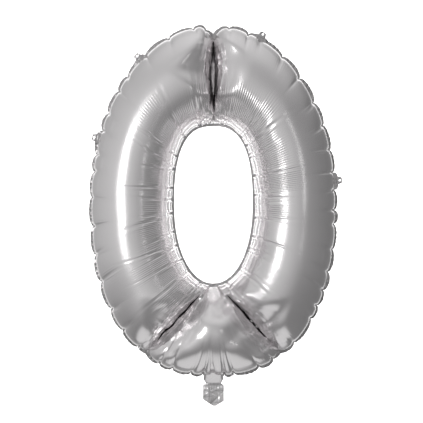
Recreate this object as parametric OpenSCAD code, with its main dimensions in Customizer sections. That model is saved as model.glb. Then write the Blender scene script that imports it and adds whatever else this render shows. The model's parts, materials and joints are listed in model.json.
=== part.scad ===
// Foil number balloon, digit zero, inflated and upright. Millimetres, +Z up, -Y is the front.
// The origin is the middle of the tie, where a ribbon goes round the neck at its lower end.

/* [Digit] */
// Width of the digit over its outer seam
digit_width = 523; // [440:1:640]
// Height of the digit over its outer seam
digit_height = 746; // [620:1:900]
// Depth of the inflated tube, front to back
tube_depth = 172; // [120:1:210]
// Squareness of the upper outline, where 2 is an ellipse
upper_squareness = 2.0; // [1.9:0.05:2.6]
// Squareness of the lower outline
lower_squareness = 2.35; // [1.9:0.05:2.6]

/* [Hole] */
// Width of the hole inside its seam
hole_width = 164; // [120:1:200]
// Height of the hole inside its seam
hole_height = 329; // [260:1:400]
// Distance of the hole's middle below the digit's middle
hole_drop = 9; // [0:1:15]
// Squareness of the hole's upper half
hole_upper_squareness = 2.6; // [1.9:0.05:2.8]
// Squareness of the hole's lower half
hole_lower_squareness = 2.1; // [1.9:0.05:2.8]

/* [Foil and seams] */
// Thickness of the solid that stands for one foil sheet
foil = 1; // [0.6:0.1:1.5]
// Width of the heat-sealed margin round the outside
outer_seam_width = 8; // [5:0.5:12]
// Width of the heat-sealed margin round the hole
inner_seam_width = 6; // [4:0.5:9]
// Thickness of the two sheets sealed together
seam_thickness = 2; // [1:0.1:2.4]

/* [Crease welds] */
// Width of a weld line
weld_width = 5; // [3:0.5:8]
// Gas passage between the top weld's end and the hole's seam
top_passage = 50; // [30:1:80]
// Gas passage between a slanting bottom weld's end and the hole's seam
lower_passage = 40; // [30:1:80]
// Half of the space left between the sheets' outer faces on a weld line
weld_half_depth = 2.6; // [2.4:0.1:6]
// How far the top weld pulls the outer seam in
top_notch = 28; // [5:1:35]
// How far a bottom weld pulls the outer seam in
lower_notch = 10; // [0:1:20]

/* [Neck and valve] */
// Width of the inflated neck
neck_width = 40; // [34:1:50]
// Depth of the inflated neck
neck_depth = 18; // [16:1:26]
// Height of the neck's upper end above the tie
neck_top = 34; // [28:1:44]
// Height of the outer seam's lowest point above the tie
neck_drop = 10; // [6:1:16]
// Width of the valve films
valve_width = 30; // [20:1:32]
// Length of the valve films
valve_length = 70; // [50:1:90]
// Thickness of the solid that stands for one valve film
valve_film = 0.5; // [0.3:0.1:0.8]

/* [Tail] */
// Width of the flat tail
tail_width = 44; // [38:1:52]
// Length of the whole tail below the tie
tail_length = 48; // [40:1:64]
// Length of the part of the tail above its fold
tail_upper_length = 24; // [18:1:28]
// Radius of the tail's lower corners
tail_corner = 10; // [4:1:14]
// Thickness of the solid that stands for one sheet of the tail
tail_foil = 0.5; // [0.3:0.1:0.8]

/* [Hang tabs] */
// Width of a tab at its root
tab_root_width = 19; // [16:1:24]
// Width of a tab at its tip
tab_tip_width = 12; // [9:1:15]
// How far a tab stands out
tab_length = 9; // [8.5:0.5:12]
// Diameter of the punched hole
tab_hole = 4.5; // [3:0.1:5]
// Thickness of a tab, two sheets sealed together
tab_thickness = 1.2; // [0.8:0.1:1.6]

/* [Clearances] */
// Between pieces of one body that pass through each other's openings
fit_clearance = 0.3; // [0.2:0.05:0.6]
// Half of the gap between two facing films
film_clearance = 0.25; // [0.2:0.05:0.4]
// Between a folding piece's root and what it folds on
fold_clearance = 2; // [1.6:0.1:2.5]

/* [Hidden] */

// Sections round the digit, and steps across one sheet
section_count = 120;
sheet_steps = 12;
round_facets = 48;

// Angles round the digit, anticlockwise from its right side as seen from the front
top_weld_angle = 90;
lower_left_weld_angle = 240;
lower_right_weld_angle = 540 - lower_left_weld_angle;
// A section in the fan between the lower welds ends this near the hole's lowest point
fan_inner_angle = 5;
// Angle over which a sheet rises from a weld line to its full depth
weld_span = 15;
// Half of the angle that a notch in the outer seam takes
notch_span = 6;

// Where the hang tabs stand
tab_upper_left_angle = 126.7;
tab_upper_right_angle = 67.3;
tab_left_angle = 159.4;
tab_right_angle = 6.5;

digit_middle = neck_drop + digit_height / 2;
hole_middle = digit_middle - hole_drop;
tube_half_depth = tube_depth / 2;

foil_colour = [0.72, 0.71, 0.71];
seam_colour = [0.55, 0.54, 0.55];
valve_colour = [0.86, 0.88, 0.90];

// A superellipse's point at angle a, with its own squareness above and below
function outline_point(a, half_width, half_height, upper, lower) =
    let (power = 2 / (sin(a) >= 0 ? upper : lower))
    [
        half_width * sign(cos(a)) * pow(abs(cos(a)), power),
        half_height * sign(sin(a)) * pow(abs(sin(a)), power)
    ];

// How far round the digit angle a is from a weld, the shorter way, as an angle
function apart(a, weld) =
    let (turn = abs(a - weld) % 360)
    min(turn, 360 - turn);

function notch(a, weld, depth) = depth * pow(max(0, 1 - apart(a, weld) / notch_span), 1.3);

function pulled_in(a) =
    notch(a, top_weld_angle, top_notch)
    + notch(a, lower_left_weld_angle, lower_notch)
    + notch(a, lower_right_weld_angle, lower_notch);

// The outer seam's line, moved in by a margin from the digit's edge
function outer_point(a, margin) =
    let (
        edge = outline_point(
            a, digit_width / 2 - margin, digit_height / 2 - margin,
            upper_squareness, lower_squareness
        ),
        pull = pulled_in(a) * edge / norm(edge)
    )
    [edge[0] - pull[0], digit_middle + edge[1] - pull[1]];

// The hole's line, moved out by a margin from the hole's edge
function inner_point(a, margin) =
    let (
        edge = outline_point(
            a, hole_width / 2 + margin, hole_height / 2 + margin,
            hole_upper_squareness, hole_lower_squareness
        )
    )
    [edge[0], hole_middle + edge[1]];

// The angle on the hole that faces angle a on the outer seam. The sections stand straight in the
// upper half, then lean towards the hole's lowest point, and the fan's nearly meet there.
function facing_left(a) =
    a <= 180 ? a
    : a <= lower_left_weld_angle ?
        let (
            part = (a - 180) / (lower_left_weld_angle - 180),
            straight = lower_left_weld_angle - 180,
            extra = 270 - fan_inner_angle - lower_left_weld_angle
        )
        180 + straight * part + extra * part * part
    : 270 - fan_inner_angle * (270 - a) / (270 - lower_left_weld_angle);

function facing(a) =
    a > 360 ? 360 + facing(a - 360)
    : a <= 270 ? facing_left(a)
    : 540 - facing_left(540 - a);

// From 0 on a weld line to 1 at the full depth, rising like the edge of a pillow
function pillow(part) = part >= 1 ? 1 : sqrt(1 - (1 - part) * (1 - part));

function half_depth(a) =
    let (
        rise = pillow(apart(a, top_weld_angle) / weld_span)
            * pillow(apart(a, lower_left_weld_angle) / weld_span)
            * pillow(apart(a, lower_right_weld_angle) / weld_span)
    )
    weld_half_depth + (tube_half_depth - weld_half_depth) * rise;

// One point of a sheet's face: across runs from 0 at the outer seam to 180 at the hole's seam,
// and depth_in is how far the face lies inside the sheet's outer face
function sheet_point(a, across, depth_in) =
    let (
        outer = outer_point(a, outer_seam_width),
        inner = inner_point(facing(a), inner_seam_width),
        span = norm(inner - outer),
        along = depth_in + (span - 2 * depth_in) * (1 - cos(across)) / 2,
        place = outer + (inner - outer) * along / span
    )
    [place[0], -(half_depth(a) - depth_in) * sin(across), place[1]];

// The part of the front sheet between two crease welds, from angle a_start to angle a_end
module foil_panel(a_start, a_end) {
    ring = 2 * (sheet_steps + 1);
    step = 180 / sheet_steps;
    sections = round((a_end - a_start) * section_count / 360);
    last = sections * ring;
    panel_points = [
        for (i = [0 : sections])
            let (a = a_start + (a_end - a_start) * i / sections)
            each [
                for (k = [0 : sheet_steps]) sheet_point(a, k * step, 0),
                for (k = [sheet_steps : -1 : 0]) sheet_point(a, k * step, foil)
            ]
    ];
    skin_faces = [
        for (i = [0 : sections - 1])
            let (here = i * ring, next = here + ring)
            for (k = [0 : ring - 1])
                let (k_next = (k + 1) % ring)
                each [
                    [here + k, next + k_next, next + k],
                    [here + k, here + k_next, next + k_next]
                ]
    ];
    end_faces = [
        for (k = [0 : sheet_steps - 1])
            let (opposite = ring - 1 - k)
            each [
                [k, opposite, opposite - 1, k + 1],
                [last + k, last + k + 1, last + opposite - 1, last + opposite]
            ]
    ];
    polyhedron(points = panel_points, faces = concat(skin_faces, end_faces), convexity = 10);
}

module left_panel() {
    foil_panel(top_weld_angle, lower_left_weld_angle);
}

module right_panel() {
    foil_panel(lower_right_weld_angle, top_weld_angle + 360);
}

// The fan between the slanting welds, open where the neck joins it
module base_panel() {
    difference() {
        foil_panel(lower_left_weld_angle, lower_right_weld_angle);
        neck_passage();
    }
}

// A flat plate in the seam plane, drawn as seen from the front and centred on that plane
module flat_plate(thickness) {
    rotate([90, 0, 0])
        linear_extrude(height = thickness, center = true, convexity = 6)
            children();
}

// The neck's outline seen from above, grown by a margin
module neck_outline(margin) {
    end_radius = neck_depth / 2 + margin;
    end_shift = (neck_width - neck_depth) / 2;
    union() {
        square([2 * end_shift, 2 * end_radius], center = true);
        for (side = [-1, 1])
            translate([side * end_shift, 0])
                circle(r = end_radius, $fn = round_facets);
    }
}

// The space that the neck takes where it passes the sheets and the outer seam
module neck_passage() {
    linear_extrude(height = neck_top)
        neck_outline(fit_clearance);
}

module front_left_foil() {
    color(foil_colour)
        left_panel();
}

module front_right_foil() {
    color(foil_colour)
        right_panel();
}

module front_base_foil() {
    color(foil_colour)
        base_panel();
}

module rear_left_foil() {
    color(foil_colour)
        mirror([0, 1, 0])
            left_panel();
}

module rear_right_foil() {
    color(foil_colour)
        mirror([0, 1, 0])
            right_panel();
}

module rear_base_foil() {
    color(foil_colour)
        mirror([0, 1, 0])
            base_panel();
}

module outer_seam() {
    angles = [for (i = [0 : section_count - 1]) 360 * i / section_count];
    color(seam_colour)
        difference() {
            flat_plate(seam_thickness)
                difference() {
                    polygon([for (a = angles) outer_point(a, 0)]);
                    polygon([for (a = angles) outer_point(a, outer_seam_width)]);
                }
            neck_passage();
        }
}

module inner_seam() {
    angles = [for (i = [0 : section_count - 1]) facing(360 * i / section_count)];
    color(seam_colour)
        flat_plate(seam_thickness)
            difference() {
                polygon([for (a = angles) inner_point(a, inner_seam_width)]);
                polygon([for (a = angles) inner_point(a, 0)]);
            }
}

// A weld line that runs from the outer seam towards the hole, and ends round before a gas passage
module weld_line(a, passage) {
    start = outer_point(a, outer_seam_width);
    finish = inner_point(facing(a), inner_seam_width);
    heading = atan2(finish[1] - start[1], finish[0] - start[0]);
    body_length = norm(finish - start) - passage - weld_width / 2 - fit_clearance;
    color(seam_colour)
        flat_plate(seam_thickness)
            translate(start)
                rotate(heading)
                    translate([fit_clearance, 0])
                        union() {
                            translate([0, -weld_width / 2])
                                square([body_length, weld_width]);
                            translate([body_length, 0])
                                circle(d = weld_width, $fn = round_facets);
                        }
}

module top_weld() {
    weld_line(top_weld_angle, top_passage);
}

module lower_left_weld() {
    weld_line(lower_left_weld_angle, lower_passage);
}

module lower_right_weld() {
    weld_line(lower_right_weld_angle, lower_passage);
}

// The short inflated neck, a tube that is open at both ends
module neck_sleeve() {
    color(foil_colour)
        translate([0, 0, fold_clearance])
            linear_extrude(height = neck_top - fold_clearance)
                difference() {
                    neck_outline(0);
                    neck_outline(-foil);
                }
}

// One film of the self-sealing valve, on the front side, with a narrower inner end
module valve_film_sheet() {
    inner_end_width = valve_width * 0.7;
    taper_start = valve_length * 0.6;
    color(valve_colour)
        translate([0, -film_clearance - valve_film / 2, fold_clearance])
            flat_plate(valve_film)
                polygon([
                    [-valve_width / 2, 0],
                    [valve_width / 2, 0],
                    [valve_width / 2, taper_start],
                    [inner_end_width / 2, valve_length],
                    [-inner_end_width / 2, valve_length],
                    [-valve_width / 2, taper_start]
                ]);
}

module valve_front_film() {
    valve_film_sheet();
}

module valve_rear_film() {
    mirror([0, 1, 0])
        valve_film_sheet();
}

// One sheet of the tail above its fold, on the front side
module tail_sheet() {
    sheet_length = tail_upper_length - 2 * fold_clearance;
    color(foil_colour)
        translate([0, -film_clearance - tail_foil / 2, -tail_upper_length + fold_clearance])
            flat_plate(tail_foil)
                translate([-tail_width / 2, 0])
                    square([tail_width, sheet_length]);
}

// One sheet of the tail below its fold, on the front side, with round lower corners
module tail_end_sheet() {
    sheet_top = -tail_upper_length - fold_clearance;
    corner_shift = tail_width / 2 - tail_corner;
    color(foil_colour)
        translate([0, -film_clearance - tail_foil / 2, 0])
            flat_plate(tail_foil)
                union() {
                    translate([-tail_width / 2, -tail_length + tail_corner])
                        square([tail_width, tail_length - tail_corner + sheet_top]);
                    translate([-corner_shift, -tail_length])
                        square([2 * corner_shift, tail_corner]);
                    for (side = [-1, 1])
                        translate([side * corner_shift, -tail_length + tail_corner])
                            circle(r = tail_corner, $fn = round_facets);
                }
}

module tail_front_foil() {
    tail_sheet();
}

module tail_rear_foil() {
    mirror([0, 1, 0])
        tail_sheet();
}

module tail_end_front_foil() {
    tail_end_sheet();
}

module tail_end_rear_foil() {
    mirror([0, 1, 0])
        tail_end_sheet();
}

// A hang tab with its punched hole, standing out square to the outer seam at angle a
module hang_tab(a) {
    root = outer_point(a, 0);
    before = outer_point(a - 1, 0);
    after = outer_point(a + 1, 0);
    heading = atan2(after[1] - before[1], after[0] - before[0]);
    color(seam_colour)
        flat_plate(tab_thickness)
            translate(root)
                rotate(heading)
                    difference() {
                        polygon([
                            [-tab_root_width / 2, -fold_clearance],
                            [-tab_tip_width / 2, -tab_length],
                            [tab_tip_width / 2, -tab_length],
                            [tab_root_width / 2, -fold_clearance]
                        ]);
                        translate([0, -(tab_length + fold_clearance) / 2])
                            circle(d = tab_hole, $fn = round_facets);
                    }
}

module hang_tab_upper_left() {
    hang_tab(tab_upper_left_angle);
}

module hang_tab_upper_right() {
    hang_tab(tab_upper_right_angle);
}

module hang_tab_left() {
    hang_tab(tab_left_angle);
}

module hang_tab_right() {
    hang_tab(tab_right_angle);
}

front_left_foil();
front_right_foil();
front_base_foil();
rear_left_foil();
rear_right_foil();
rear_base_foil();
outer_seam();
inner_seam();
top_weld();
lower_left_weld();
lower_right_weld();
neck_sleeve();
valve_front_film();
valve_rear_film();
tail_front_foil();
tail_rear_foil();
tail_end_front_foil();
tail_end_rear_foil();
hang_tab_upper_left();
hang_tab_upper_right();
hang_tab_left();
hang_tab_right();
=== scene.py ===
"""The looks of a foil number balloon, digit 0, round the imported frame. Metres, +Z up, -Y in front."""
import json
import math

import bpy
import numpy as np
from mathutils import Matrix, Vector


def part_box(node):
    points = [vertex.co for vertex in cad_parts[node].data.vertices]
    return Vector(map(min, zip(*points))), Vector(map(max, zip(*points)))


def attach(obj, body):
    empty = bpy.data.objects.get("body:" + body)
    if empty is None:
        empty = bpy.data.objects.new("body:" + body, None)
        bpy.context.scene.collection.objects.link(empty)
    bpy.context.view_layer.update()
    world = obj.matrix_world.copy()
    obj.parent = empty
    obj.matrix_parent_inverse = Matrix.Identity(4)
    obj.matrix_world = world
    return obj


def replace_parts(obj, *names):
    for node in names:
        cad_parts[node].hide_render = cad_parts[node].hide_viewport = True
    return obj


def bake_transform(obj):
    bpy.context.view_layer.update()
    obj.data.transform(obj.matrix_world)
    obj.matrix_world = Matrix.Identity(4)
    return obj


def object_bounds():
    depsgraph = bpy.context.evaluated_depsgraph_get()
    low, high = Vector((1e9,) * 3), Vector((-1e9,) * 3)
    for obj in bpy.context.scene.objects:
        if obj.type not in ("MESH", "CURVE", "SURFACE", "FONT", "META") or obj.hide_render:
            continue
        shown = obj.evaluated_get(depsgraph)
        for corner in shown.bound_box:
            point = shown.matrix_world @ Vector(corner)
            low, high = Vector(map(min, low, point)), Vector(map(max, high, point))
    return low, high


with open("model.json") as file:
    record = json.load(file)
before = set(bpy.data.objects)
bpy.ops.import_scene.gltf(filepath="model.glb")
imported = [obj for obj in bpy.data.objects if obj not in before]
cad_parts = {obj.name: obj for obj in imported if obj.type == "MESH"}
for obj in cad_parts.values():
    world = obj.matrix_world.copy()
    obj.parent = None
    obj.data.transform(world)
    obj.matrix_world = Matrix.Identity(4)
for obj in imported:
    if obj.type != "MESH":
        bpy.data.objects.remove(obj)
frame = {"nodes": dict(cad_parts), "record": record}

CAD_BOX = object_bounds()
MM = 0.001

# ---------------------------------------------------------------- sizes, from the frame where it has them
SEAM_LOW, SEAM_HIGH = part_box("outer_seam")
HOLE_LOW, HOLE_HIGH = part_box("inner_seam")
OUTER_MARGIN = 8 * MM
INNER_MARGIN = 6 * MM
HOLE_DROP = 9 * MM
HOLE_MIDDLE = (HOLE_LOW[2] + HOLE_HIGH[2]) / 2
MIDDLE = HOLE_MIDDLE + HOLE_DROP
WELD_HALF_WIDTH = (SEAM_HIGH[0] - SEAM_LOW[0]) / 2 - OUTER_MARGIN
WELD_HALF_HEIGHT = MIDDLE - SEAM_LOW[2] - OUTER_MARGIN
HOLE_HALF_WIDTH = (HOLE_HIGH[0] - HOLE_LOW[0]) / 2
HOLE_HALF_HEIGHT = (HOLE_HIGH[2] - HOLE_LOW[2]) / 2
HALF_DEPTH = -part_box("front_left_foil")[0][1]
UPPER_SQUARENESS, LOWER_SQUARENESS = 2.0, 2.35
HOLE_UPPER_SQUARENESS, HOLE_LOWER_SQUARENESS = 2.6, 2.1

# Crease welds: angle round the digit, notch in the seam, and share of the tube that is welded
WELDS = (
    {"node": "top_weld", "angle": 90.0, "notch": 28 * MM, "reach": 0.70, "floor": 2.0, "wall": 4.6, "rise": 0.24, "ridge": 18.0, "end": 92.0,
     "stray": 0.5},
    {"node": "lower_left_weld", "angle": 240.0, "notch": 10 * MM, "reach": 0.76, "floor": 0.3, "wall": 1.2, "rise": 0.32, "ridge": 17.0, "end": 88.0,
     "stray": 1.6},
    {"node": "lower_right_weld", "angle": 300.0, "notch": 10 * MM, "reach": 0.76, "floor": 0.3, "wall": 1.2, "rise": 0.32, "ridge": 17.0, "end": 88.0,
     "stray": 1.6},
)
RIDGE_RISE = 0.60
NECK_HALF_WIDTH = 21 * MM
TAIL_HALF_WIDTH = 22 * MM
TAIL_TOP, TAIL_END = -1.0 * MM, -48 * MM
TAIL_FOLD = -24 * MM
TAIL_POINT = 2 * MM
TAB_ROOT, TAB_TIP = 8.0 * MM, 4.5 * MM
TAB_ROOT_HALF, TAB_TIP_HALF = 9.3 * MM, 6.2 * MM
NOTCH_SPAN = 7.0
FAN_INNER_ANGLE = 5.0
WELD_HALF_GAP = 0.6 * MM

ROUND = 1680     # columns of the skin round the digit
ACROSS = 84      # rows of one sheet, from the outer seam to the hole's seam


def superellipse(a, half_width, half_height, upper, lower):
    c, s = np.cos(np.radians(a)), np.sin(np.radians(a))
    power = 2 / np.where(s >= 0, upper, lower)
    x = half_width * np.sign(c) * np.abs(c) ** power
    z = half_height * np.sign(s) * np.abs(s) ** power
    return x, z


def facing(a):
    """The angle on the hole that faces angle a on the outer seam, as in the frame."""
    left = np.where(a <= 270, a, 540 - a)
    part = (left - 180) / 60
    leaning = 180 + 60 * part + (30 - FAN_INNER_ANGLE) * part * part
    fan = 270 - FAN_INNER_ANGLE * (270 - left) / 30
    inner = np.where(left <= 180, left, np.where(left <= 240, leaning, fan))
    return np.where(a <= 270, inner, 540 - inner)


def blur_round(values, columns):
    """Smooths values that go round the digit, over about so many columns."""
    n = len(values)
    steps = np.minimum(np.arange(n), n - np.arange(n))
    kernel = np.exp(-(steps / columns) ** 2)
    kernel /= kernel.sum()
    return np.fft.irfft(np.fft.rfft(values) * np.fft.rfft(kernel), n)


def even_angles():
    """Angles on the outer seam and on the hole, so that columns are evenly spaced on the outer seam."""
    a = np.linspace(0, 360, 14401)
    x, z = superellipse(a, WELD_HALF_WIDTH, WELD_HALF_HEIGHT, UPPER_SQUARENESS, LOWER_SQUARENESS)
    run = np.concatenate([[0], np.cumsum(np.hypot(np.diff(x), np.diff(z)))])
    outer = np.interp(np.arange(ROUND) / ROUND * run[-1], run, a)
    x, z = superellipse(a, HOLE_HALF_WIDTH, HOLE_HALF_HEIGHT, HOLE_UPPER_SQUARENESS, HOLE_LOWER_SQUARENESS)
    run = np.concatenate([[0], np.cumsum(np.hypot(np.diff(x), np.diff(z)))])
    share = np.interp(facing(outer), a, run) / run[-1]
    even = np.arange(ROUND) / ROUND
    share = even + blur_round(share - even, 14)
    return outer, np.interp(share * run[-1], run, a, period=None)


OUTER_ANGLE, HOLE_ANGLE = even_angles()


def outer_line(margin=0.0):
    """The outer weld line, moved out by a margin, with the notches at the crease welds."""
    x, z = superellipse(OUTER_ANGLE, WELD_HALF_WIDTH + margin, WELD_HALF_HEIGHT + margin,
                        UPPER_SQUARENESS, LOWER_SQUARENESS)
    pull = sum(w["notch"] * np.maximum(0, 1 - np.abs(OUTER_ANGLE - w["angle"]) / NOTCH_SPAN) ** 1.9
               for w in WELDS)
    length = np.hypot(x, z)
    return x * (1 - pull / length), MIDDLE + z * (1 - pull / length)


def inner_line(margin=0.0):
    x, z = superellipse(HOLE_ANGLE, HOLE_HALF_WIDTH - margin, HOLE_HALF_HEIGHT - margin,
                        HOLE_UPPER_SQUARENESS, HOLE_LOWER_SQUARENESS)
    return x, HOLE_MIDDLE + z


def smooth(x):
    x = np.clip(x, 0, 1)
    return x * x * (3 - 2 * x)


def wavy(x, waves, seed):
    """Smooth periodic noise of about unit size: x runs from 0 to 1 round the digit."""
    rng = np.random.default_rng(seed)
    total = np.zeros_like(x)
    for n in waves:
        total += rng.normal() * np.cos(2 * np.pi * (n * x + rng.random()))
    return total / math.sqrt(len(waves))


# ---------------------------------------------------------------- the foil's skin
def rows_across():
    """Where the rows lie from seam to seam, closer together beside both seams."""
    x = np.arange(ACROSS + 1) / ACROSS
    return x - 0.62 * np.sin(2 * np.pi * x) / (2 * np.pi)


def wander(along, n):
    """How far to one side, in millimetres, the bottom of crease n strays from its straight line."""
    welded = np.clip(along / WELDS[n]["reach"], 0, 1)
    return WELDS[n]["stray"] * np.sin(np.pi * welded) * wavy(along, (1, 2, 4), 60 + n)


def valley(x, z):
    """How deep the tube is, from 0 on a weld line to 1, with the ridges that stand beside each weld."""
    share = np.ones(x.shape)
    for n, w in enumerate(WELDS):
        i = int(np.abs(OUTER_ANGLE - w["angle"]).argmin())
        along_x, along_z = x[i, -1] - x[i, 0], z[i, -1] - z[i, 0]
        length = math.hypot(along_x, along_z)
        side = ((x - x[i, 0]) * along_z - (z - z[i, 0]) * along_x) / length / MM
        along = ((x - x[i, 0]) * along_x + (z - z[i, 0]) * along_z) / length ** 2
        side = side - wander(along, n)
        across = np.abs(side) * (1 + 0.10 * wavy(along, (1, 2, 3), 40 + n) * np.sign(side))
        welded = np.clip(along / w["reach"], 0, 1)
        beyond = np.clip((along - w["reach"]) / (1 - w["reach"]), 0, 1)
        width = 0.40 + 0.60 * np.sin(np.pi * (0.04 + 0.92 * smooth(welded))) ** 0.8 + 0.20 * np.sin(np.pi * beyond)
        fan_side = side * np.sign(270 - w["angle"]) > 0
        if w["node"] != "top_weld":
            width = np.where(fan_side, np.maximum(width, 0.85 * smooth(along / 0.3)), width)
        across = across / width
        outside = np.clip((across - w["ridge"]) / (w["end"] - w["ridge"]), 0, 1)
        rise = np.interp(across, (0, w["floor"], w["wall"], w["ridge"]), (0, 0, w["rise"], RIDGE_RISE))
        rise = rise + (1 - RIDGE_RISE) * (1 - (1 - outside) ** 2.3)
        rise = rise - 0.018 * np.exp(-np.abs(outside - 0.42) / 0.16) * (across > w["ridge"])
        floor = 0.42 * smooth(beyond * 1.5)
        near = (np.abs(OUTER_ANGLE - w["angle"]) < 40)[:, None]
        one = np.clip(np.where(near, floor + (1 - floor) * rise, 1.0), 1e-3, None)
        share = (share ** -4 + one ** -4 - 1) ** -0.25
    return share


def base_skin():
    """Points of one sheet before it wrinkles: columns round the digit, rows from seam to seam."""
    s = rows_across()[None, :]
    xo, zo = (v[:, None] for v in outer_line())
    xi, zi = (v[:, None] for v in inner_line())
    t = (1 - np.cos(np.pi * s)) / 2
    x = xo + (xi - xo) * t
    z = zo + (zi - zo) * t
    depth = WELD_HALF_GAP * np.sin(np.pi * s) ** 0.3
    in_fan = smooth((30 - np.abs(OUTER_ANGLE - 270)) / 10)[:, None] * smooth((s - 0.35) / 0.5)
    depth = depth + (HALF_DEPTH - WELD_HALF_GAP) * valley(x, z) * np.sin(np.pi * s) ** (1 + 0.8 * in_fan)
    return np.stack([x, -depth, z], axis=-1)


def normals(grid):
    """Unit normals, pointing out of the gas, of a grid that closes on itself along its first axis."""
    du = np.roll(grid, -1, 0) - np.roll(grid, 1, 0)
    dv = np.gradient(grid, axis=1)
    n = np.cross(du, dv)
    n = n / np.maximum(np.linalg.norm(n, axis=-1, keepdims=True), 1e-12)
    return n * (-1 if n[:, ACROSS // 2, 1].mean() > 0 else 1)


def seam_length(line):
    step = np.linalg.norm(np.roll(line, -1, 0) - line, axis=1)
    return np.concatenate([[0], np.cumsum(step)[:-1]]), step.sum()


def pucker_places(total, least, most, seed, kept_clear=(), fixed=()):
    """Places along a seam where the foil is drawn in, at uneven steps, clear of the welds' ends."""
    rng = np.random.default_rng(seed)
    places = []
    at = rng.uniform(0, least)
    while at < total - least * 0.6:
        if all(abs(at - k) > least * 0.45 for k in (*kept_clear, *fixed)):
            places.append(at)
        at += rng.uniform(least, most)
    return np.array(sorted([*places, *fixed]))


def panels(at, places, total):
    """For each point of a seam, how far across its panel it is from 0 to 1, and which panel it is."""
    after = np.searchsorted(places, at, side="right") % len(places)
    before = after - 1
    width = (places[after] - places[before]) % total
    return ((at - places[before]) % total) / width, after


def around(at, place, total):
    return (at - place + total / 2) % total - total / 2


def outer_places(base):
    at, total = seam_length(base[:, 0])
    welds = [at[np.abs(OUTER_ANGLE - w["angle"]).argmin()] for w in WELDS]
    low = at[np.abs(OUTER_ANGLE - 270).argmin()]
    neck = (low - NECK_HALF_WIDTH - 2 * MM, low + NECK_HALF_WIDTH + 2 * MM)
    return at, total, pucker_places(total, 26 * MM, 62 * MM, 9, welds, neck)


def wrinkle(base, seed):
    """Draws one sheet in along both seams and pleats it towards the hole, as the film of such a balloon."""
    rng = np.random.default_rng(seed)
    n = normals(base)
    run = np.linalg.norm(np.diff(base, axis=1), axis=-1)
    from_outer = np.concatenate([np.zeros((ROUND, 1)), np.cumsum(run, axis=1)], axis=1)
    from_inner = from_outer[:, -1:] - from_outer
    s = rows_across()[None, :]
    turn = np.arange(ROUND)[:, None] / ROUND
    lift = np.zeros(from_outer.shape)

    at, total, places = outer_places(base)
    part, panel = panels(at, places, total)
    crown = 1 - np.abs(2 * part - 1) ** 2.6
    lift += (2.2 * MM * crown)[:, None] * np.exp(-(from_outer / (58 * MM)) ** 3)
    for place in places:
        deep, reach, lean = rng.uniform(1.4, 3.0) * MM, rng.uniform(48, 84) * MM, rng.uniform(-0.16, 0.16)
        d = around(at, place, total)[:, None] + lean * from_outer
        beside_neck = np.abs(np.interp(place, at, OUTER_ANGLE) - 270)
        if beside_neck < 26:
            reach = 92 * MM
            deep = 4.2 * MM if beside_neck < 8 else 3.0 * MM
        line = np.exp(-(np.abs(d) / (2.4 * MM + 0.02 * from_outer)) ** 1.3)
        fade = np.exp(-(from_outer / reach) ** 4)
        lift -= deep * line * fade
        ribs = np.cos(2 * np.pi * d / (5.4 * MM)) * np.exp(-(d / (13 * MM)) ** 2)
        lift += rng.uniform(0.05, 0.25) * MM * ribs * np.exp(-((from_outer - reach * 0.7) / (reach * 0.4)) ** 2)
    ledge = rng.uniform(42, 60, len(places))[panel][:, None] * MM
    size = rng.choice([0, 0.4, 0.9], len(places))[panel][:, None] * MM
    lift += size * np.exp(-((from_outer - ledge) / (3.2 * MM)) ** 2) * crown[:, None]

    at, total = seam_length(base[:, -1])
    welds = [at[np.abs(OUTER_ANGLE - w["angle"]).argmin()] for w in WELDS]
    places = pucker_places(total, 20 * MM, 44 * MM, 13, welds)
    part, panel = panels(at, places, total)
    crown = 1 - np.abs(2 * part - 1) ** 3
    spread = np.gradient(at)
    spread[[0, -1]] = spread[[1, -2]]
    spread = np.abs(spread) / (total / ROUND)
    fan = smooth((spread - 0.22) / 0.25)[:, None]
    lift += fan * (1.5 * MM * crown)[:, None] * np.exp(-(from_inner / (60 * MM)) ** 2)
    pitch = rng.uniform(2.6, 3.5, len(places))[panel] * MM
    start = rng.uniform(0.40, 0.62, len(places))[panel][:, None]
    strong = rng.uniform(0.40, 0.74, len(places))[panel][:, None] * MM
    ribs = np.cos(2 * np.pi * at / pitch)[:, None]
    growing = (0.45 + 0.55 * smooth((s - 0.5) / 0.3)) * smooth((s - start) / 0.14)
    lift += fan * strong * ribs * growing * (0.5 + 0.5 * crown[:, None])
    for place in places:
        for double in (0, rng.choice([0, 5]) * MM):
            deep, reach, lean = rng.uniform(1.3, 2.7) * MM, rng.uniform(60, 115) * MM, rng.uniform(-0.12, 0.12)
            wide = rng.uniform(1.5, 2.4) * MM
            d = np.abs(around(at, place + double, total)[:, None] + lean * from_inner)
            line = np.exp(-(d / wide) ** 2) - 0.45 * np.exp(-((d - 2 * wide) / wide) ** 2)
            lift -= fan * deep * line * np.exp(-(from_inner / reach) ** 3)
    bands = wavy(turn, (3, 5, 8, 13, 21), seed + 5)
    lift += 1.25 * MM * fan * np.cos(2 * np.pi * from_inner / (15 * MM) + 1.2 * bands) \
        * np.exp(-(from_inner / (46 * MM)) ** 2)

    lift += crease_ribs(base, rng)
    for k in range(9):
        waves, rows = rng.integers(2, 16), rng.uniform(-1.6, 1.6)
        lift += 0.16 * MM * np.cos(2 * np.pi * (waves * turn + rows * s + rng.random()))
    edge = smooth(from_outer / (12 * MM)) * smooth(from_inner / (13 * MM))
    return base + n * (lift * edge)[..., None]


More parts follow.
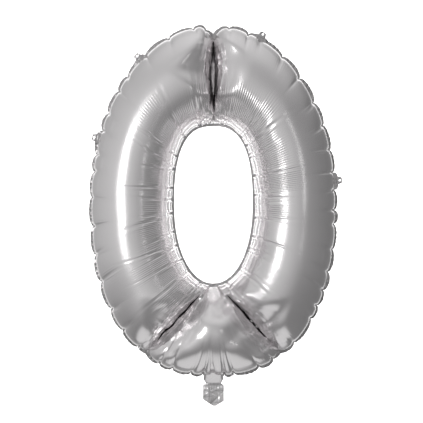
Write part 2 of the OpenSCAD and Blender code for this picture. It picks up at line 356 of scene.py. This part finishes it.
def crease_ribs(base, rng):
    """Short puckers across the walls of each crease, where its weld gathers the film."""
    x, z = base[..., 0], base[..., 2]
    lift = np.zeros(x.shape)
    for w in WELDS:
        i = int(np.abs(OUTER_ANGLE - w["angle"]).argmin())
        along_x, along_z = x[i, -1] - x[i, 0], z[i, -1] - z[i, 0]
        length = math.hypot(along_x, along_z)
        side = ((x - x[i, 0]) * along_z - (z - z[i, 0]) * along_x) / length / MM
        along = ((x - x[i, 0]) * along_x + (z - z[i, 0]) * along_z) / length ** 2
        near = (np.abs(OUTER_ANGLE - w["angle"]) < 40)[:, None] * smooth(along / 0.06) * smooth((w["reach"] + 0.08 - along) / 0.1)
        band = np.exp(-((np.abs(side) - w["ridge"] * 0.9) / (w["ridge"] * 0.75)) ** 2)
        at = along * length / MM + 0.25 * side * rng.uniform(-1, 1)
        ribs = np.zeros(x.shape)
        for k in range(22):
            place, wide = rng.uniform(6, w["reach"] * length / MM), rng.uniform(1.8, 4.2)
            one_side = np.clip(0.5 + rng.choice([-1, 1]) * side / 4, 0, 1)
            d = (at - place) / wide
            ribs += rng.uniform(0.5, 1.7) * one_side * (np.exp(-d ** 2) - 0.5 * np.exp(-(np.abs(d) - 1.8) ** 2))
        lift -= MM * ribs * band * near
        welded = np.clip(along / w["reach"], 0, 1)
        for far, high in ((0.62, 1.1), (1.12, 1.5)):
            line = w["ridge"] * far * (0.45 + 0.55 * np.sin(np.pi * welded))
            lift += high * MM * np.exp(-((np.abs(side) - line) / 2.2) ** 2) * near * (0.75 + 0.25 * wavy(along, (2, 5, 9), 77))
    return lift


def pull_seam(base):
    """How far each point of the outer seam is drawn in at its pucker places, and each point's panel."""
    at, total, places = outer_places(base)
    rng = np.random.default_rng(23)
    pull = np.zeros(ROUND)
    for place in places:
        d = around(at, place, total)
        pull = np.maximum(pull, rng.uniform(1.5, 5.5) * MM * np.exp(-(np.abs(d) / (7 * MM)) ** 1.1))
    part, panel = panels(at, places, total)
    centre = np.array([0, 0, MIDDLE])
    out = base[:, 0] - centre
    out /= np.linalg.norm(out, axis=1, keepdims=True)
    return -out * (pull * (1 - tab_hold()))[:, None], part, panel


def film():
    """The whole skin as one grid: front sheet from outer seam to hole, then the rear sheet back."""
    base = base_skin()
    move, part, panel = pull_seam(base)
    front = wrinkle(base, 21)
    rear = wrinkle(base, 22) * np.array([1, -1, 1])
    share = np.exp(-np.arange(ACROSS + 1) / 9.0)[None, :, None]
    front = front + move[:, None] * share
    rear = rear + move[:, None] * share
    grid = np.concatenate([front, rear[:, -2:0:-1]], axis=1)
    grid[:, 0] = (front[:, 0] + rear[:, 0]) / 2
    grid[:, ACROSS] = (front[:, -1] + rear[:, -1]) / 2
    return grid, part, panel


# ---------------------------------------------------------------- meshes
def grid_quads(columns, rows, closed):
    i = np.arange(columns if closed else columns - 1)[:, None]
    j = np.arange(rows - 1)[None, :]
    n = (i + 1) % columns
    return np.stack([i * rows + j, n * rows + j, n * rows + j + 1, i * rows + j + 1], -1).reshape(-1, 4)


def mesh_piece(name, points, quads, material, body="root"):
    mesh = bpy.data.meshes.new(name)
    mesh.vertices.add(len(points))
    mesh.vertices.foreach_set("co", np.asarray(points, np.float32).ravel())
    mesh.loops.add(quads.size)
    mesh.loops.foreach_set("vertex_index", quads.ravel().astype(np.int32))
    mesh.polygons.add(len(quads))
    mesh.polygons.foreach_set("loop_start", np.arange(0, quads.size, 4, dtype=np.int32))
    mesh.update(calc_edges=True)
    mesh.validate()
    mesh.polygons.foreach_set("use_smooth", np.ones(len(mesh.polygons), bool))
    mesh.set_sharp_from_angle(angle=math.radians(70))
    mesh.materials.append(material)
    piece = bpy.data.objects.new(name, mesh)
    bpy.context.scene.collection.objects.link(piece)
    if body and name != "tie_gather":
        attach(piece, body)
    return piece


def closed_strip(rows, thickness):
    """Points and quads of a thin closed band: rows[column, row] is one face's grid, ring-closed."""
    columns, count = rows.shape[:2]
    n = np.cross(np.roll(rows, -1, 0) - np.roll(rows, 1, 0), np.gradient(rows, axis=1))
    n /= np.maximum(np.linalg.norm(n, axis=-1, keepdims=True), 1e-12)
    both = np.concatenate([rows + n * thickness / 2, (rows - n * thickness / 2)[:, ::-1]], axis=1)
    i = np.arange(columns)[:, None]
    j = np.arange(2 * count)[None, :]
    a, b = (i + 1) % columns, (j + 1) % (2 * count)
    total = 2 * count
    quads = np.stack([i * total + j, a * total + j, a * total + b, i * total + b], -1).reshape(-1, 4)
    return both.reshape(-1, 3), quads


def seam_normals(line):
    """Directions in the plane of the seam, square to it and away from its middle."""
    d = np.roll(line, -3, 0) - np.roll(line, 3, 0)
    out = np.stack([d[:, 2], np.zeros(len(d)), -d[:, 0]], -1)
    out /= np.linalg.norm(out, axis=1, keepdims=True)
    middle = line.mean(0)
    return out * np.sign(((line - middle) * out).sum(1).mean())


def tab_hold():
    """1 where a hang tab is rooted on the outer seam, and 0 elsewhere."""
    line = np.stack(outer_line(OUTER_MARGIN), -1)
    hold = np.zeros(ROUND)
    for joint in frame["record"]["behaviour"]["joints"]:
        if joint["name"].startswith("tab_"):
            x, _, z = joint["pos_m"]
            away = np.hypot(line[:, 0] - x, line[:, 1] - z)
            hold = np.maximum(hold, smooth(1.8 - away / (10 * MM)))
    return hold


def frill(line, out, width, part, panel, tilt, pinch, hold, seed, rows=6):
    """The free edge beyond a weld: it stands square to the seam, and leans and ripples in each panel."""
    rng = np.random.default_rng(seed)
    many = panel.max() + 1
    turn = np.arange(ROUND) / ROUND
    full = width * (1 - 0.3 * pinch * rng.random(many)[panel])
    reach = full * (1 - pinch + pinch * np.sin(np.pi * np.clip(part, 0, 1)) ** 0.5)
    reach = reach + (width - reach) * hold
    lean = np.radians(tilt) * rng.uniform(0.3, 1, many)[panel] * np.sin(np.pi * part) ** 0.5
    lean += np.radians(tilt) * 0.22 * wavy(turn, (61, 97, 150, 211), seed + 1)
    lean = np.clip(lean, -1.25, 1.25) * (1 - hold)
    ripple = 0.05 * width * wavy(turn, (190, 260, 330), seed + 2)
    r = np.linspace(0, 1, rows)[None, :, None]
    across = reach * np.cos(lean)
    aside = reach * np.sin(lean)
    side = np.array([0, 1.0, 0])
    grid = line[:, None] + out[:, None] * (across[:, None, None] * r) \
        + side * (aside[:, None, None] * r ** 1.4 + ripple[:, None, None] * r)
    return grid


def weld_strip(skin, w):
    """The ribbed band of fused film that shows along the floor of a crease."""
    i = int(np.abs(OUTER_ANGLE - w["angle"]).argmin())
    path = skin[i, :ACROSS + 1]
    run = np.concatenate([[0], np.cumsum(np.linalg.norm(np.diff(path[:, ::2], axis=0), axis=1))])
    length = run[-1] * w["reach"]
    steps = 90
    at = np.linspace(1 * MM, length, steps)
    x, z = np.interp(at, run, path[:, 0]), np.interp(at, run, path[:, 2])
    tangent = np.array([x[-1] - x[0], 0, z[-1] - z[0]]) / math.hypot(x[-1] - x[0], z[-1] - z[0])
    aside = np.array([-tangent[2], 0, tangent[0]])
    sides = 12
    t = np.arange(sides) * 2 * np.pi / sides
    ends = smooth(np.minimum(at - at[0], at[-1] - at) / (2.5 * MM) + 0.05)
    half_width = (w["floor"] + 0.8) * MM * ends
    half_depth = (0.75 + 0.22 * np.cos(2 * np.pi * at / (4.2 * MM))) * MM * ends
    across = np.sign(np.cos(t)) * np.abs(np.cos(t)) ** 0.6
    deep = np.sign(np.sin(t)) * np.abs(np.sin(t)) ** 0.6
    stray = wander((at - at[0]) / run[-1], WELDS.index(w)) * MM
    centre = np.stack([x, np.zeros(steps), z], -1)[:, None] + aside * stray[:, None, None]
    grid = centre + aside * (half_width[:, None] * across)[..., None] \
        + np.array([0, 1.0, 0]) * (half_depth[:, None] * deep)[..., None]
    return tube(grid)


def tube(grid):
    """Points and quads of a tube from rings of points, with both ends closed to a middle point."""
    rings, sides = grid.shape[:2]
    i = np.arange(rings - 1)[:, None]
    j = np.arange(sides)[None, :]
    n = (j + 1) % sides
    body = np.stack([i * sides + j, i * sides + n, (i + 1) * sides + n, (i + 1) * sides + j], -1).reshape(-1, 4)
    first, last = rings * sides, rings * sides + 1
    j = np.arange(0, sides, 2)
    start = np.stack([np.full(len(j), first), (j + 2) % sides, j + 1, j], -1)
    end = np.stack([np.full(len(j), last), j, j + 1, (j + 2) % sides], -1) \
        + np.array([0, 1, 1, 1]) * (rings - 1) * sides
    points = np.concatenate([grid.reshape(-1, 3), grid[:1].mean(1), grid[-1:].mean(1)])
    return points, np.concatenate([body, start, end])


def neck(skin):
    """The sleeve that comes out of the base's face, narrows at the tie and keeps its corners soft."""
    i = int(np.abs(OUTER_ANGLE - 270).argmin())
    face = skin[i, :ACROSS // 2]
    rings, sides = 70, 96
    z = np.linspace(47 * MM, 0.8 * MM, rings)
    pillow = np.interp(z, face[:, 2], -face[:, 1], left=0)
    sleeve = 2.5 * MM + 0.93 * z
    proud = pillow + 2.7 * MM * smooth((46 * MM - z) / (12 * MM)) - 0.9 * MM
    soft = 5 * MM
    half_depth = (proud + sleeve + np.sqrt((proud - sleeve) ** 2 + soft ** 2 * smooth(1 - z / (40 * MM)))) / 2
    half_width = NECK_HALF_WIDTH * (0.80 + 0.20 * smooth(z / (9 * MM)))
    t = np.arange(sides) * 2 * np.pi / sides
    power = (2 / (2.4 + 1.8 * smooth(z / (30 * MM))))[:, None]
    x = half_width[:, None] * np.sign(np.cos(t)) * np.abs(np.cos(t)) ** power
    y = half_depth[:, None] * np.sign(np.sin(t)) * np.abs(np.sin(t)) ** power
    gather = smooth(1 - z / (12 * MM))[:, None]
    pleats = 1 + 0.05 * gather * np.cos(15 * t + 3 * np.sin(2 * t)) + 0.012 * np.cos(7 * t + 1.0)
    grid = np.stack([x, y * pleats, np.broadcast_to(z[:, None], x.shape)], -1)
    return tube(grid)


def tie_gather():
    """The pinched ring of pleats at the tie, between the neck and the tail."""
    rings, sides = 24, 120
    z = np.linspace(2.2 * MM, -5.0 * MM, rings)
    along = (z[0] - z) / (z[0] - z[-1])
    waist = 1 - 0.10 * np.exp(-((along - 0.35) / 0.22) ** 2)
    t = np.arange(sides) * 2 * np.pi / sides
    rough = 1 + 0.13 * np.cos(17 * t + 2.2 * np.sin(3 * t)) * (1 - 0.4 * along[:, None])
    x = (17.0 + 2.0 * along[:, None]) * MM * waist[:, None] * np.sign(np.cos(t)) * np.abs(np.cos(t)) ** 0.8
    y = (3.4 - 1.9 * along[:, None]) * MM * waist[:, None] * np.sin(t) * rough
    return tube(np.stack([x, y, np.broadcast_to(z[:, None], x.shape)], -1))


def crumple(x, z, seed, folds=26, height=0.9):
    """Heights of a crumpled film: sharp folds along random straight lines."""
    rng = np.random.default_rng(seed)
    y = np.zeros(x.shape)
    for k in range(folds):
        turn = rng.uniform(0, np.pi)
        d = (x - rng.uniform(-20, 20) * MM) * np.cos(turn) + (z - rng.uniform(-46, 0) * MM) * np.sin(turn)
        y += rng.uniform(-1, 1) * height * MM * np.exp(-np.abs(d) / (rng.uniform(2, 7) * MM))
    return y


def tail_sheet(side, top, bottom, seed, lift):
    """One ply of the tail from height top to bottom: crumpled, with ears at the tie and slanted corners."""
    columns, rows = 56, max(12, int(round((top - bottom) / MM * 1.2)))
    u = np.linspace(-1, 1, columns)[:, None]
    v = np.linspace(0, 1, rows)[None, :]
    z = top + (bottom - top) * v + 0 * u
    half = TAIL_HALF_WIDTH * (0.80 + 0.20 * smooth((TAIL_TOP - z) / (4 * MM)))
    x = u * half
    end = TAIL_END + np.where(x < TAIL_POINT, 0.66, 0.62) * np.abs(x - TAIL_POINT) - 2 * MM
    z = np.maximum(z, np.minimum(end + 0.04 * (z - TAIL_END), top))
    y = crumple(x, z, seed)
    y = y * smooth((TAIL_TOP - z) / (7 * MM)) + 0.9 * MM * np.cos(u * 21 + 2 * np.sin(3 * u)) \
        * np.exp(-((TAIL_TOP - z) / (6 * MM)) ** 2)
    free = smooth((TAIL_TOP - 1.2 * MM - z) / (10 * MM))
    y = side * (lift + np.abs(y + 0.6 * MM) * free) + 1.1 * MM * np.sin(x / (9 * MM) + 0.5) * free
    return np.stack([x, y, z], -1)


def tab_plate(name):
    """A hang tab: a soft-cornered ear with a real hole, from its root at the seam to its tip."""
    hole = next(m for m in frame["record"]["mounts"] if m["name"] == "hang_hole_" + name)
    joint = next(j for j in frame["record"]["behaviour"]["joints"] if j["name"] == "tab_" + name + "_bend")
    middle, hinge = np.array(hole["pos_m"]), np.array(joint["pos_m"])
    out = (middle - hinge) / np.linalg.norm(middle - hinge)
    along = np.array([out[2], 0, -out[0]])
    around_hole, steps = 72, 9
    t = np.arange(around_hole) * 2 * np.pi / around_hole
    c = np.sign(np.cos(t)) * np.abs(np.cos(t)) ** 0.32
    v = np.sign(np.sin(t)) * np.abs(np.sin(t)) ** 0.32
    high = np.where(v > 0, v * TAB_TIP, v * TAB_ROOT)
    wide = c * (TAB_ROOT_HALF + (TAB_TIP_HALF - TAB_ROOT_HALF) * (high + TAB_ROOT) / (TAB_ROOT + TAB_TIP))
    r = np.linspace(0, 1, steps)
    hole_radius = hole["dims"]["r_mm"] * MM
    u_grid = hole_radius * np.cos(t)[:, None] * (1 - r) + wide[:, None] * r
    v_grid = hole_radius * np.sin(t)[:, None] * (1 - r) + high[:, None] * r
    curl = 0.9 * MM * np.sin(u_grid / (5 * MM) + len(name)) * r + 0.35 * MM * np.sin(v_grid / (1.3 * MM))
    grid = middle + u_grid[..., None] * along + v_grid[..., None] * out + curl[..., None] * np.array([0, 1.0, 0])
    return closed_strip(grid, 0.5 * MM)


# ---------------------------------------------------------------- materials
def foil_material(name, colour, roughness, bump, scale, metallic=1.0, clear=0.0):
    """Metallised film: mirror-like, with faint crinkles and slightly duller patches."""
    m = bpy.data.materials.new(name)
    m.use_nodes = True
    nodes, links = m.node_tree.nodes, m.node_tree.links
    shader = nodes["Principled BSDF"]
    shader.inputs["Metallic"].default_value = metallic
    shader.inputs["Transmission Weight"].default_value = clear
    place = nodes.new("ShaderNodeTexCoord")
    cloud = nodes.new("ShaderNodeTexNoise")
    cloud.inputs["Scale"].default_value = 14
    cloud.inputs["Detail"].default_value = 4
    links.new(place.outputs["Object"], cloud.inputs["Vector"])
    rough = nodes.new("ShaderNodeMapRange")
    rough.inputs["To Min"].default_value = roughness * 0.8
    rough.inputs["To Max"].default_value = roughness * 1.25
    links.new(cloud.outputs["Fac"], rough.inputs["Value"])
    links.new(rough.outputs["Result"], shader.inputs["Roughness"])
    tint = nodes.new("ShaderNodeMix")
    tint.data_type = "RGBA"
    tint.inputs["A"].default_value = (*[c * 0.94 for c in colour], 1)
    tint.inputs["B"].default_value = (*colour, 1)
    links.new(cloud.outputs["Fac"], tint.inputs["Factor"])
    links.new(tint.outputs["Result"], shader.inputs["Base Color"])
    crinkle = nodes.new("ShaderNodeTexNoise")
    crinkle.inputs["Scale"].default_value = scale
    crinkle.inputs["Detail"].default_value = 6
    links.new(place.outputs["Object"], crinkle.inputs["Vector"])
    lift = nodes.new("ShaderNodeBump")
    lift.inputs["Strength"].default_value = bump
    lift.inputs["Distance"].default_value = 0.4 * MM
    links.new(crinkle.outputs["Fac"], lift.inputs["Height"])
    links.new(lift.outputs["Normal"], shader.inputs["Normal"])
    return m


# ---------------------------------------------------------------- the set
def area_light(name, place, target, size, power, colour=(1, 1, 1)):
    data = bpy.data.lights.new(name, "AREA")
    data.shape = "RECTANGLE"
    data.size, data.size_y = size
    data.energy = power
    data.color = colour
    lamp = bpy.data.objects.new(name, data)
    lamp.location = place
    lamp.rotation_euler = (Vector(target) - Vector(place)).to_track_quat("-Z", "Y").to_euler()
    bpy.context.scene.collection.objects.link(lamp)
    return lamp


def ramp(nodes, links, source, low, high, stops, scale=2.0):
    """A curve of brightness: stops are pairs of a place between low and high, and the value there."""
    place = nodes.new("ShaderNodeMapRange")
    place.inputs["From Min"].default_value = low
    place.inputs["From Max"].default_value = high
    links.new(source, place.inputs["Value"])
    curve = nodes.new("ShaderNodeValToRGB")
    while len(curve.color_ramp.elements) < len(stops):
        curve.color_ramp.elements.new(0.5)
    for element, (at, value) in zip(curve.color_ramp.elements, stops):
        element.position = (at - low) / (high - low)
        element.color = (value / scale, value / scale, value / scale, 1)
    links.new(place.outputs["Result"], curve.inputs["Fac"])
    return curve.outputs["Color"]


def room_light():
    """A grey room, darker to the right, brighter behind and straight below."""
    world = bpy.data.worlds.new("studio")
    bpy.context.scene.world = world
    world.use_nodes = True
    nodes, links = world.node_tree.nodes, world.node_tree.links
    place = nodes.new("ShaderNodeTexCoord")
    split = nodes.new("ShaderNodeSeparateXYZ")
    links.new(place.outputs["Generated"], split.inputs[0])
    front = nodes.new("ShaderNodeMath")
    front.operation = "MULTIPLY"
    front.inputs[1].default_value = -1
    links.new(split.outputs["Y"], front.inputs[0])
    turn = nodes.new("ShaderNodeMath")
    turn.operation = "ARCTAN2"
    links.new(split.outputs["X"], turn.inputs[0])
    links.new(front.outputs["Value"], turn.inputs[1])
    degrees = nodes.new("ShaderNodeMath")
    degrees.operation = "DEGREES"
    links.new(turn.outputs["Value"], degrees.inputs[0])
    sideways = ramp(nodes, links, degrees.outputs["Value"], -180, 180, ROOM_BY_TURN)
    above = ramp(nodes, links, split.outputs["Z"], -1, 1, ROOM_ABOVE_AND_BELOW)
    share = ramp(nodes, links, split.outputs["Z"], -1, 1, ROOM_SHARE, 1.0)
    both = nodes.new("ShaderNodeMix")
    both.data_type = "RGBA"
    links.new(share, both.inputs["Factor"])
    links.new(above, both.inputs["A"])
    links.new(sideways, both.inputs["B"])
    links.new(both.outputs["Result"], nodes["Background"].inputs["Color"])
    nodes["Background"].inputs["Strength"].default_value = RAMP_SCALE


ROOM_BY_TURN = ((-180, 1.6), (-160, 1.5), (-150, 0.44), (-100, 0.54), (-60, 0.62), (-20, 0.64), (0, 0.56),
                (15, 0.46), (40, 0.31), (80, 0.24), (116, 0.20), (150, 0.24), (160, 1.5), (180, 1.6))
ROOM_ABOVE_AND_BELOW = ((-1, 0.70), (-0.88, 0.66), (-0.78, 0.24), (-0.3, 0.18), (0.3, 0.5), (0.7, 0.52), (1, 0.75))
ROOM_SHARE = ((-1, 0.02), (-0.70, 0.02), (-0.10, 1.0), (0.35, 1.0), (0.75, 0.02), (1, 0.02))
RAMP_SCALE = 2.0


def studio():
    scene = bpy.context.scene
    scene.view_settings.view_transform = "Standard"
    room_light()
    floor_z = CAD_BOX[0][2] - 0.12
    turns = 48
    rings = [(0.0, 0.0), (1.0, 0.0), (3.0, 0.0)]
    rings += [(3.0 + math.sin(n * math.pi / 16), 1 - math.cos(n * math.pi / 16)) for n in range(1, 9)]
    rings += [(4.0, 6.0)]
    points = [(r * math.cos(2 * math.pi * k / turns), r * math.sin(2 * math.pi * k / turns), floor_z + z)
              for k in range(turns) for r, z in rings]
    mesh = bpy.data.meshes.new("backdrop")
    mesh.from_pydata(points, [], grid_quads(turns, len(rings), True)[:, ::-1].tolist())
    for p in mesh.polygons:
        p.use_smooth = True
    m = bpy.data.materials.new("backdrop")
    m.use_nodes = True
    m.node_tree.nodes["Principled BSDF"].inputs["Base Color"].default_value = (0.93, 0.93, 0.93, 1)
    m.node_tree.nodes["Principled BSDF"].inputs["Roughness"].default_value = 0.9
    mesh.materials.append(m)
    backdrop = bpy.data.objects.new("backdrop", mesh)
    backdrop.visible_glossy = False
    scene.collection.objects.link(backdrop)

    centre = (0, 0, MIDDLE)
    area_light("key_left", (-1.6, -2.55, MIDDLE + 0.27), centre, (0.85, 1.1), 8.5)
    area_light("fill_right", (1.45, -2.7, MIDDLE + 0.3), centre, (0.2, 0.7), 0.5)
    glow = area_light("glow_behind_hole", (0, 0.17, HOLE_MIDDLE), (0, -1, HOLE_MIDDLE), (0.20, 0.42), 0.45)
    glow.visible_camera = False
    for name, x, y in (("wash_rear", 0, 1.5), ("wash_front", 0, -1.5)):
        lamp = area_light(name, (x, y, MIDDLE + 2.4), (x, y * 2, floor_z), (4.0, 2.0), 150)
        lamp.visible_glossy = False


def camera():
    data = bpy.data.cameras.new("front")
    data.sensor_width = 36
    distance = 3.2
    shown = 0.888
    data.lens = 36 * distance / shown
    eye = bpy.data.objects.new("front", data)
    eye.location = (-0.004, -distance, 0.360)
    eye.rotation_euler = (math.pi / 2, 0, 0)
    bpy.context.scene.collection.objects.link(eye)
    bpy.context.scene.camera = eye


# ---------------------------------------------------------------- build
camera()
studio()
SILVER = foil_material("silver_foil", (0.88, 0.86, 0.868), 0.24, 0.10, 160)
SEALED = foil_material("sealed_foil", (0.50, 0.488, 0.492), 0.24, 0.30, 420)
CRUSHED = foil_material("crushed_foil", (0.80, 0.785, 0.79), 0.22, 0.35, 300)
VALVE = foil_material("valve_film", (0.85, 0.87, 0.9), 0.4, 0.3, 200, metallic=0.0, clear=0.6)

skin, seam_part, seam_panel = film()
quads = grid_quads(ROUND, ACROSS + 1, True)
for side, points in (("front", skin[:, :ACROSS + 1]),
                     ("rear", np.concatenate([skin[:, ACROSS:], skin[:, :1]], axis=1))):
    piece = mesh_piece(side + "_foil", points.reshape(-1, 3), quads, SILVER, "root")
    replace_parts(piece, side + "_left_foil", side + "_right_foil", side + "_base_foil")

line = skin[:, 0]
grid = frill(line, seam_normals(line), OUTER_MARGIN + 2 * MM, seam_part, seam_panel, 28, 0.66, tab_hold(), 31)
points, quads = closed_strip(grid, 0.3 * MM)
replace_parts(mesh_piece("outer_seam_frill", points, quads, SEALED, "root"), "outer_seam")
line = skin[:, ACROSS]
at, total = seam_length(line)
part, panel = panels(at, pucker_places(total, 10 * MM, 26 * MM, 17), total)
grid = frill(line, -seam_normals(line), INNER_MARGIN, part, panel, 9, 0.08, 0, 33)
points, quads = closed_strip(grid, 0.3 * MM)
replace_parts(mesh_piece("inner_seam_frill", points, quads, SEALED, "root"), "inner_seam")
for w in WELDS:
    points, quads = weld_strip(skin, w)
    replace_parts(mesh_piece(w["node"] + "_strip", points, quads, SEALED, "root"), w["node"])

points, quads = neck(skin)
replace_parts(mesh_piece("neck_tube", points, quads, SILVER, "root"), "neck_sleeve")
points, quads = tie_gather()
piece = mesh_piece("tie_gather", points, quads, CRUSHED, "root")
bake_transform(piece)

for name, side, top, bottom, bodies, nodes in (
    ("tail_front_ply", -1, TAIL_TOP, TAIL_END, ("tail", "tail_end_front"), ("tail_front_foil", "tail_end_front_foil")),
    ("tail_rear_ply", 1, TAIL_TOP, TAIL_FOLD - 4 * MM, ("tail", "tail_end_front"), ("tail_rear_foil",)),
    ("tail_rear_end_ply", 1, TAIL_FOLD - 4 * MM, TAIL_END, ("tail_end_front", "tail_end_rear"), ("tail_end_rear_foil",)),
):
    grid = tail_sheet(side, top, bottom, 51 if side < 0 else 52, 0.3 * MM)
    columns, rows = grid.shape[:2]
    piece = mesh_piece(name, grid.reshape(-1, 3), grid_quads(columns, rows, False), CRUSHED, None)
    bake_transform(piece)
    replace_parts(piece, *nodes)

for name in ("upper_left", "upper_right", "left", "right"):
    points, quads = tab_plate(name)
    piece = mesh_piece("tab_" + name + "_ear", points, quads, SEALED, "tab_" + name)
    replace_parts(piece, "hang_tab_" + name)

for node in ("valve_front_film", "valve_rear_film"):
    for slot in frame["nodes"][node].material_slots:
        slot.material = VALVE
